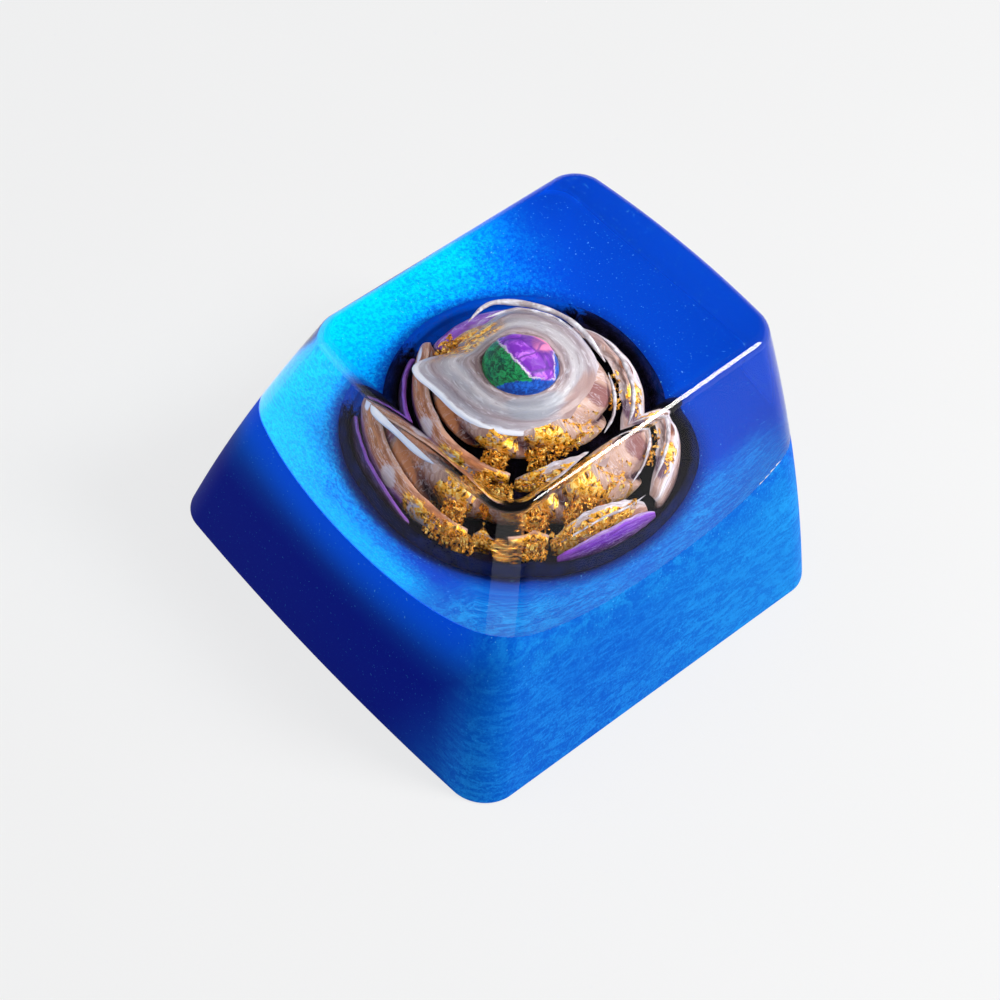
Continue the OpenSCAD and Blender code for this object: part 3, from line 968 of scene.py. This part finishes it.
def collarMaterial():
    made = newMaterial("smokyWhite")
    out, flow = field(made, "along"), flowPlace(made)
    turn = turnOf(made, flow)
    broad = noise(made, 1.0, detail=3, rough=0.55, twist=0.7, stretch=(0.55, 0.55, 2.2), place=flow)
    thin = noise(made, 3.0, detail=3, rough=0.6, twist=0.8, stretch=(0.5, 0.5, 2.6), place=flow)
    lifted = calc(made, "ADD", out, calc(made, "MULTIPLY_ADD", broad, 0.3, -0.15))
    base = ramp(
        made,
        lifted,
        [
            (0.0, (0.10, 0.04, 0.035)),
            (0.08, (0.12, 0.06, 0.06)),
            (0.12, (0.40, 0.28, 0.27)),
            (0.17, (0.20, 0.12, 0.12)),
            (0.23, (0.42, 0.33, 0.33)),
            (0.30, (0.28, 0.21, 0.22)),
            (0.44, (0.44, 0.40, 0.42)),
            (0.60, (0.36, 0.32, 0.34)),
            (0.76, (0.24, 0.18, 0.20)),
            (0.86, (0.42, 0.36, 0.38)),
            (1.0, (0.40, 0.34, 0.36)),
        ],
    )
    base = blend(made, calc(made, "MULTIPLY", stepped(made, thin, 0.54, 0.70), 0.45), base, (0.70, 0.66, 0.70))
    base = blend(made, calc(made, "MULTIPLY", stepped(made, thin, 0.44, 0.30), 0.5), base, (0.16, 0.11, 0.12))
    cool = calc(made, "MULTIPLY", patch(made, turn, out, calc(made, "MULTIPLY_ADD", broad, 1.2, -0.6), (0.93, 0.10, 0.45, 0.3), True), 0.7)
    base = blend(made, cool, base, (0.27, 0.28, 0.32))
    warm = patch(made, turn, out, calc(made, "MULTIPLY_ADD", broad, 1.6, -0.8), (0.07, 0.09, 0.85, 0.35), True)
    base = blend(made, calc(made, "MULTIPLY", warm, 0.85), base, (0.30, 0.18, 0.16))
    front = calc(made, "SUBTRACT", 1.0, stepped(made, calc(made, "ABSOLUTE", turnFrom(made, turn, 0.75)), 0.09, 0.22))
    lipEdge = calc(made, "ADD", out, calc(made, "MULTIPLY_ADD", thin, 0.10, -0.05))
    lip = calc(made, "MULTIPLY", stepped(made, lipEdge, 0.895, 0.935), mixShare(made, front, 0.3, 1.0))
    base = blend(made, lip, base, (0.80, 0.77, 0.80))
    # gold-brown mottling at the left
    left = calc(made, "SUBTRACT", 1.0, stepped(made, calc(made, "ABSOLUTE", turnFrom(made, turn, 0.52)), 0.05, 0.11))
    left = calc(made, "MULTIPLY", left, stepped(made, out, 0.35, 0.55))
    speck = noise(made, 2600, detail=4, rough=0.7, twist=1.0)
    leaf = calc(made, "MULTIPLY", stepped(made, speck, 0.45, 0.53), left)
    brown, crumple = goldColour(made)
    base = blend(made, calc(made, "MULTIPLY", left, 0.7), base, (0.20, 0.08, 0.06))
    base = blend(made, leaf, base, brown)
    height = calc(made, "ADD", calc(made, "MULTIPLY", thin, 0.8), calc(made, "MULTIPLY", speck, 0.2))
    return finish(
        made,
        {"Base Color": base, "Roughness": 0.28, "Specular IOR Level": 0.35, "Metallic": calc(made, "MULTIPLY", leaf, 0.5)},
        bump=height,
        strength=0.45,
        depth=0.00006,
    )


def collarPiece():
    profile = curveThrough(collar["profile"], 46)
    a = np.linspace(0, 2 * np.pi, 240, endpoint=False)
    lip = np.array(collar["lip"], float)
    wrapped = np.vstack([lip[-2:] - [360, 0], lip, lip[:2] + [360, 0]])
    fineLip = curveThrough(wrapped, 800)
    edge = np.interp(np.degrees(a), fineLip[:, 0], fineLip[:, 1]) + 0.02 * waves(a, 21, strongest=9)
    share, rise = profile[:, :1], profile[:, 1:]
    r = mix(collar["inner"], edge[None], share)
    groove = collar["groove"] * np.sin(share * 26 + 1.5 * waves(a, 23, strongest=5)[None]) * smooth(0.1, 0.3, share)
    z = bead["h"] + collar["thick"] / 2 - collar["h"] * (1 - rise) + groove - 0.02
    lower = z - collar["thick"] * np.sqrt(np.clip(1 - share**6, 0, 1))
    upper = around(blossom["core"], r, a[None], z)
    under = around(blossom["core"], r, a[None], lower)
    rings = np.concatenate([under[:-1], upper[::-1]])
    way = np.concatenate([share[:-1], share[::-1]])
    made = ringSurface(
        "collarRing",
        rings,
        collarMaterial(),
        fields={"along": way, "flow": roundFlow(a[None], 2 * way, 2.4)},
        wrap=True,
        sharp=70,
    )
    return put(made, "smoky_white", "collar")


collarPiece()

# The bead and its three painted fields. The directions are read from the photograph's view.

view = {"azimuth": 40.942, "elevation": 50.723, "roll": 9.29, "distance": 76.551, "target": (2.095, -2.669, 6.5), "lens": 76.94}


def viewAxes(elevation):
    az, el, roll = (math.radians(angle) for angle in (view["azimuth"], elevation, view["roll"]))
    back = Vector((math.sin(az) * math.cos(el), -math.cos(az) * math.cos(el), math.sin(el)))
    level = Vector((0, 0, 1)).cross(back).normalized()
    upright = back.cross(level)
    right = math.cos(roll) * level + math.sin(roll) * upright
    up = -math.sin(roll) * level + math.cos(roll) * upright
    return right, up, back


viewRight, viewUp, viewBack = viewAxes(view["elevation"])


def beadMaterial():
    made = newMaterial("beadPaint")
    fine = noise(made, 5200, detail=4, rough=0.7, twist=0.6)
    soft = noise(made, 1700, detail=3, rough=0.6, twist=1.2)
    jitter = calc(made, "MULTIPLY_ADD", calc(made, "ADD", fine, soft), 0.22, -0.22)
    green = stepped(made, calc(made, "ADD", field(made, "green"), jitter), -0.02, 0.02)
    blue = stepped(made, calc(made, "ADD", field(made, "blue"), jitter), -0.02, 0.02)
    rim = stepped(made, calc(made, "ADD", field(made, "rim"), jitter), -0.02, 0.02)
    lilac = blend(made, stepped(made, soft, 0.42, 0.6), (0.20, 0.02, 0.42), (0.52, 0.13, 0.74))
    lilac = blend(made, stepped(made, calc(made, "ADD", field(made, "pink"), jitter), 0.0, 0.1), lilac, (0.80, 0.22, 0.42))
    lilac = blend(made, calc(made, "MULTIPLY", stepped(made, field(made, "seam"), 0.3, 0.95), 0.75), lilac, (0.08, 0.01, 0.22))
    leaf = blend(made, stepped(made, fine, 0.4, 0.62), (0.0, 0.045, 0.015), (0.01, 0.34, 0.08))
    water = blend(made, stepped(made, fine, 0.4, 0.62), (0.0, 0.03, 0.24), (0.01, 0.13, 0.60))
    base = blend(made, rim, lilac, (0.66, 0.52, 0.62))
    base = blend(made, blue, base, water)
    base = blend(made, green, base, leaf)
    return finish(
        made,
        {"Base Color": base, "Roughness": 0.38, "Specular IOR Level": 0.35},
        bump=calc(made, "ADD", fine, soft),
        strength=0.5,
        depth=0.00006,
    )


def beadPiece():
    rows, turns = 110, 200
    polar = np.linspace(-np.pi / 2, np.pi / 2, rows + 2)[1:-1, None]
    a = np.linspace(0, 2 * np.pi, turns, endpoint=False)[None]
    away = np.stack(np.broadcast_arrays(np.cos(polar) * np.cos(a), np.cos(polar) * np.sin(a), np.sin(polar)), -1)
    # the resin bends the view, so the bead is seen from higher up than the camera stands
    right, up, back = (away @ np.array(axis) for axis in viewAxes(65))
    # seen from there the left is green, the upper right lilac and the bottom blue
    green = np.minimum(-0.81 * right - 0.584 * up - 0.03, up + 0.44 - 0.2 * np.minimum(right, 0))
    blue = np.maximum(-up - 0.38 + 0.2 * np.minimum(right, 0), np.minimum(right - 0.88, 0.45 - up))
    rim = np.maximum(0.05 - np.abs(green), 0.035 - np.abs(blue))
    pink = 0.35 - np.hypot(right - 0.6, up - 0.72)
    # small lobes on the lilac field, with dark seams between them
    draw = np.random.default_rng(6)
    spots = np.arange(42) + 0.5
    level, turned = 1 - 2 * spots / 42, spots * 2.39996
    flat = np.sqrt(1 - level**2)
    centres = np.stack([flat * np.cos(turned), flat * np.sin(turned), level], -1) + draw.normal(scale=0.17, size=(42, 3))
    centres /= np.linalg.norm(centres, axis=1)[:, None]
    bent = away + 0.07 * np.stack([np.sin(away[..., k] * 7 + 3 * k) for k in (1, 2, 0)], -1)
    near = np.sort(bent @ centres.T, -1)
    gap = near[..., -1] - near[..., -2]
    seam = 1 - smooth(0.0, 0.05, gap)
    lump = 0.05 * smooth(0.0, 0.12, gap) * (green < 0) * (blue < 0)
    r = bead["r"] - 0.05 + lump
    centre = np.array([*blossom["core"], cap["seamH"] + bead["h"]])
    rings = centre + away * r[..., None]
    made = ringSurface(
        "paintedBead",
        rings,
        beadMaterial(),
        start=centre - [0, 0, bead["r"] - 0.05],
        end=centre + [0, 0, bead["r"] - 0.05],
        fields={"green": green, "blue": blue, "rim": rim, "seam": seam, "pink": pink},
    )
    return put(made, "bead_paint", "bead")


beadPiece()
print("collar and bead made")

# Gold leaf: crumpled flakes on the core's front and on the petals

leafSpots = [
    # angles in degrees round the core, radii, heights above the seam, count, and how upright the flakes stretch
    ((297, 313), (3.05, 3.5), (0.7, 1.6), 60, 0.5),
    ((326, 349), (3.0, 3.5), (0.9, 2.0), 70, 0.5),
    ((349, 374), (2.95, 3.4), (1.2, 2.2), 36, 0.3),
    ((306, 317), (4.25, 4.65), (0.4, 1.3), 46, 1.0),
    ((290, 306), (4.1, 4.4), (0.4, 1.5), 60, 1.0),
    ((318, 372), (4.1, 4.3), (0.8, 1.6), 80, 0.2),
    ((193, 213), (2.6, 3.1), (2.3, 2.75), 40, 0.0),
    ((30, 60), (3.4, 3.8), (1.6, 2.2), 20, 0.3),
]


def goldLeaf():
    side = 5
    s, t = np.meshgrid(np.linspace(-1, 1, side), np.linspace(-1, 1, side), indexing="ij")
    pieces = []
    for angles, radii, heights, count, upright in leafSpots:
        for _ in range(2 * count):
            a = math.radians(chance.uniform(*angles))
            r, z = chance.uniform(*radii), chance.uniform(*heights)
            centre = around(blossom["core"], np.array(r), np.array(a), np.array(z))
            out = np.array([math.cos(a), math.sin(a), 0.5])
            out = out / np.linalg.norm(out) + chance.normal(scale=0.35, size=3)
            out /= np.linalg.norm(out)
            across = np.cross(np.cross(out, chance.normal(size=3) * 0.5 + [0, 0, 1.5 * upright]), out)
            across /= np.linalg.norm(across)
            other = np.cross(out, across)
            wide, high = chance.uniform(0.05, 0.15), chance.uniform(0.025, 0.065)
            lift = chance.normal(scale=0.02, size=s.shape)
            torn = 1 - 0.35 * chance.random(s.shape) * (np.maximum(np.abs(s), np.abs(t)) > 0.9)
            sheet = centre + (s * wide * torn)[..., None] * across + (t * high * torn)[..., None] * other + lift[..., None] * out
            thin = 0.012 * out
            top, under = sheet + thin, sheet - thin
            rings = np.concatenate([under, top[:, ::-1]], 1)
            n = 2 * side
            faces = bandFaces(side, n)
            for row, turn in ((0, 1), (side - 1, -1)):
                for i in range(side - 1):
                    quad = [row * n + i, row * n + n - 1 - i, row * n + n - 2 - i, row * n + i + 1]
                    faces.append(quad if turn < 0 else quad[::-1])
            pieces.append((rings.reshape(-1, 3), faces))
    made = newMaterial("goldLeaf")
    colour, crumple = goldColour(made, 6000)
    finish(made, {"Base Color": colour, "Metallic": gold["metallic"], "Roughness": gold["roughness"]}, bump=crumple, strength=0.5, depth=0.00004)
    points, faces = joined(pieces)
    return put(makeMesh("goldLeaf", points, faces, made, sharp=30), "gilt_petal")


goldLeaf()

# Milky strands that run through the clear resin at the back and the right

strandPaths = [
    # points as angle in degrees, radius and height above the seam, then the thickest radius
    ([(176, 3.0, 2.75), (160, 3.45, 2.6), (149, 3.62, 2.5), (130, 3.5, 2.55), (110, 3.4, 2.6), (92, 3.3, 2.6), (78, 3.25, 2.5), (66, 3.35, 2.3)], 0.13),
    ([(165, 2.8, 2.9), (140, 3.0, 2.95), (115, 3.0, 2.95), (95, 2.9, 2.9)], 0.07),
    ([(85, 3.9, 2.05), (68, 4.05, 2.1), (52, 4.15, 2.1), (38, 4.25, 1.95), (26, 4.3, 1.6)], 0.10),
    ([(56, 3.3, 2.45), (40, 3.5, 2.4), (26, 3.7, 2.2), (14, 3.75, 1.95)], 0.07),
    ([(20, 4.2, 1.2), (5, 4.3, 1.5), (-10, 4.2, 1.6), (-25, 4.15, 1.3), (-38, 4.2, 0.9)], 0.06),
]


def strands():
    pieces = []
    for path, thick in strandPaths:
        path = np.array(path, float)
        a, r, z = np.radians(path[:, 0]), path[:, 1], path[:, 2]
        points = curveThrough(around(blossom["core"], r, a, z), 40)
        share = np.linspace(0, 1, 40)
        radii = thick * (0.12 + 0.88 * np.sin(np.pi * share) ** 0.7) * (1 + 0.25 * waves(share * 9, 31, strongest=5))
        pieces.append(tubeMesh(points, radii, 10))
    made = newMaterial("milkyStrand")
    cloud = noise(made, 1800, detail=3, rough=0.6, twist=1.0)
    colour = blend(made, stepped(made, cloud, 0.35, 0.7), (0.34, 0.27, 0.28), (0.72, 0.69, 0.73))
    finish(made, {"Base Color": colour, "Roughness": 0.3, "Specular IOR Level": 0.4}, bump=cloud, strength=0.3, depth=0.00005)
    points, faces = joined(pieces)
    return put(makeMesh("milkyStrands", points, faces, made, sharp=80), "smoky_white")


strands()
print("gold leaf and strands made")

# The studio: floor, lamps, world and camera

studio = {"floor": 0.863, "floorOwn": 0.757, "world": 0.32, "overhead": 0.10}


def floorPiece():
    made = newMaterial("floorPaper")
    tree = made.node_tree
    grain = noise(made, 60, detail=2)
    own = blend(made, stepped(made, grain, 0.3, 0.7), (0.150, 0.150, 0.150), (0.156, 0.156, 0.156))
    lit = node(made, "ShaderNodeBsdfDiffuse", {"Color": own})
    glow = node(made, "ShaderNodeEmission", {"Color": (1, 1, 1, 1), "Strength": studio["floorOwn"]})
    seen = node(made, "ShaderNodeAddShader", {0: lit.outputs[0], 1: glow.outputs[0]})
    bounce = node(made, "ShaderNodeBsdfDiffuse", {"Color": (0.5, 0.5, 0.5, 1)})
    rays = node(made, "ShaderNodeLightPath").outputs
    show = calc(made, "ADD", calc(made, "ADD", rays["Is Camera Ray"], rays["Is Glossy Ray"]), rays["Is Transmission Ray"], clamp=True)
    both = node(made, "ShaderNodeMixShader", {0: show, 1: bounce.outputs[0], 2: seen.outputs[0]})
    out = node(made, "ShaderNodeOutputMaterial")
    tree.links.new(both.outputs[0], out.inputs[0])
    half = 900.0
    points = [(-half, -half, 0), (half, -half, 0), (half, half, 0), (-half, half, 0)]
    plane = makeMesh("floor", points, [[0, 1, 2, 3]], made)


floorPiece()


def worldLight():
    world = bpy.data.worlds.new("studio")
    bpy.context.scene.world = world
    world.use_nodes = True
    world.node_tree.nodes.clear()
    rays = node(world, "ShaderNodeLightPath").outputs
    away = node(world, "ShaderNodeTexCoord").outputs["Generated"]
    up = node(world, "ShaderNodeSeparateXYZ", {0: away}).outputs["Z"]
    seen = calc(world, "ADD", rays["Is Camera Ray"], rays["Is Transmission Ray"], clamp=True)
    # glossy rays see the pale backdrop near the horizon and a darker room above it
    room = blend(world, stepped(world, up, 0.25, 0.6), (studio["floor"],) * 3, (studio["overhead"],) * 3)
    plain = blend(world, rays["Is Glossy Ray"], (0.29, 0.31, 0.34), room)
    colour = blend(world, seen, plain, (studio["floor"],) * 3)
    light = node(world, "ShaderNodeBackground", {"Color": colour, "Strength": 1.0})
    out = node(world, "ShaderNodeOutputWorld")
    world.node_tree.links.new(light.outputs[0], out.inputs[0])


worldLight()

lamps = {
    # direction from the object, distance and side in millimetres, light on the object, and colour
    "keyLight": ((0.6, 0.5, 0.62), 120, 46, 3.1, (1.0, 0.98, 0.95)),
    "fillLight": ((-0.55, -0.7, 0.45), 150, 110, 0.35, (0.85, 0.92, 1.0)),
}


def placeLamps():
    for name, (toward, distance, side, level, colour) in lamps.items():
        light = bpy.data.lights.new(name, "AREA")
        light.shape = "SQUARE"
        light.size = side * millimetre
        light.energy = level * math.pi * (distance * millimetre) ** 2
        light.color = colour
        made = bpy.data.objects.new(name, light)
        bpy.context.scene.collection.objects.link(made)
        toward = Vector(toward).normalized()
        made.location = (toward * distance + Vector((0, 0, 6))) * millimetre
        made.rotation_mode = "QUATERNION"
        made.rotation_quaternion = toward.to_track_quat("Z", "Y")


placeLamps()


def placeCamera():
    seen = bpy.data.cameras.new("camera")
    seen.sensor_width, seen.lens = 36, view["lens"]
    seen.clip_start, seen.clip_end = 0.001, 10
    made = bpy.data.objects.new("camera", seen)
    bpy.context.scene.collection.objects.link(made)
    spot = Vector(view["target"]) + viewBack * view["distance"]
    axes = Matrix((viewRight, viewUp, viewBack)).transposed().to_4x4()
    made.matrix_world = Matrix.Translation(spot * millimetre) @ axes
    bpy.context.scene.camera = made


placeCamera()
bpy.context.scene.view_settings.view_transform = "Standard"
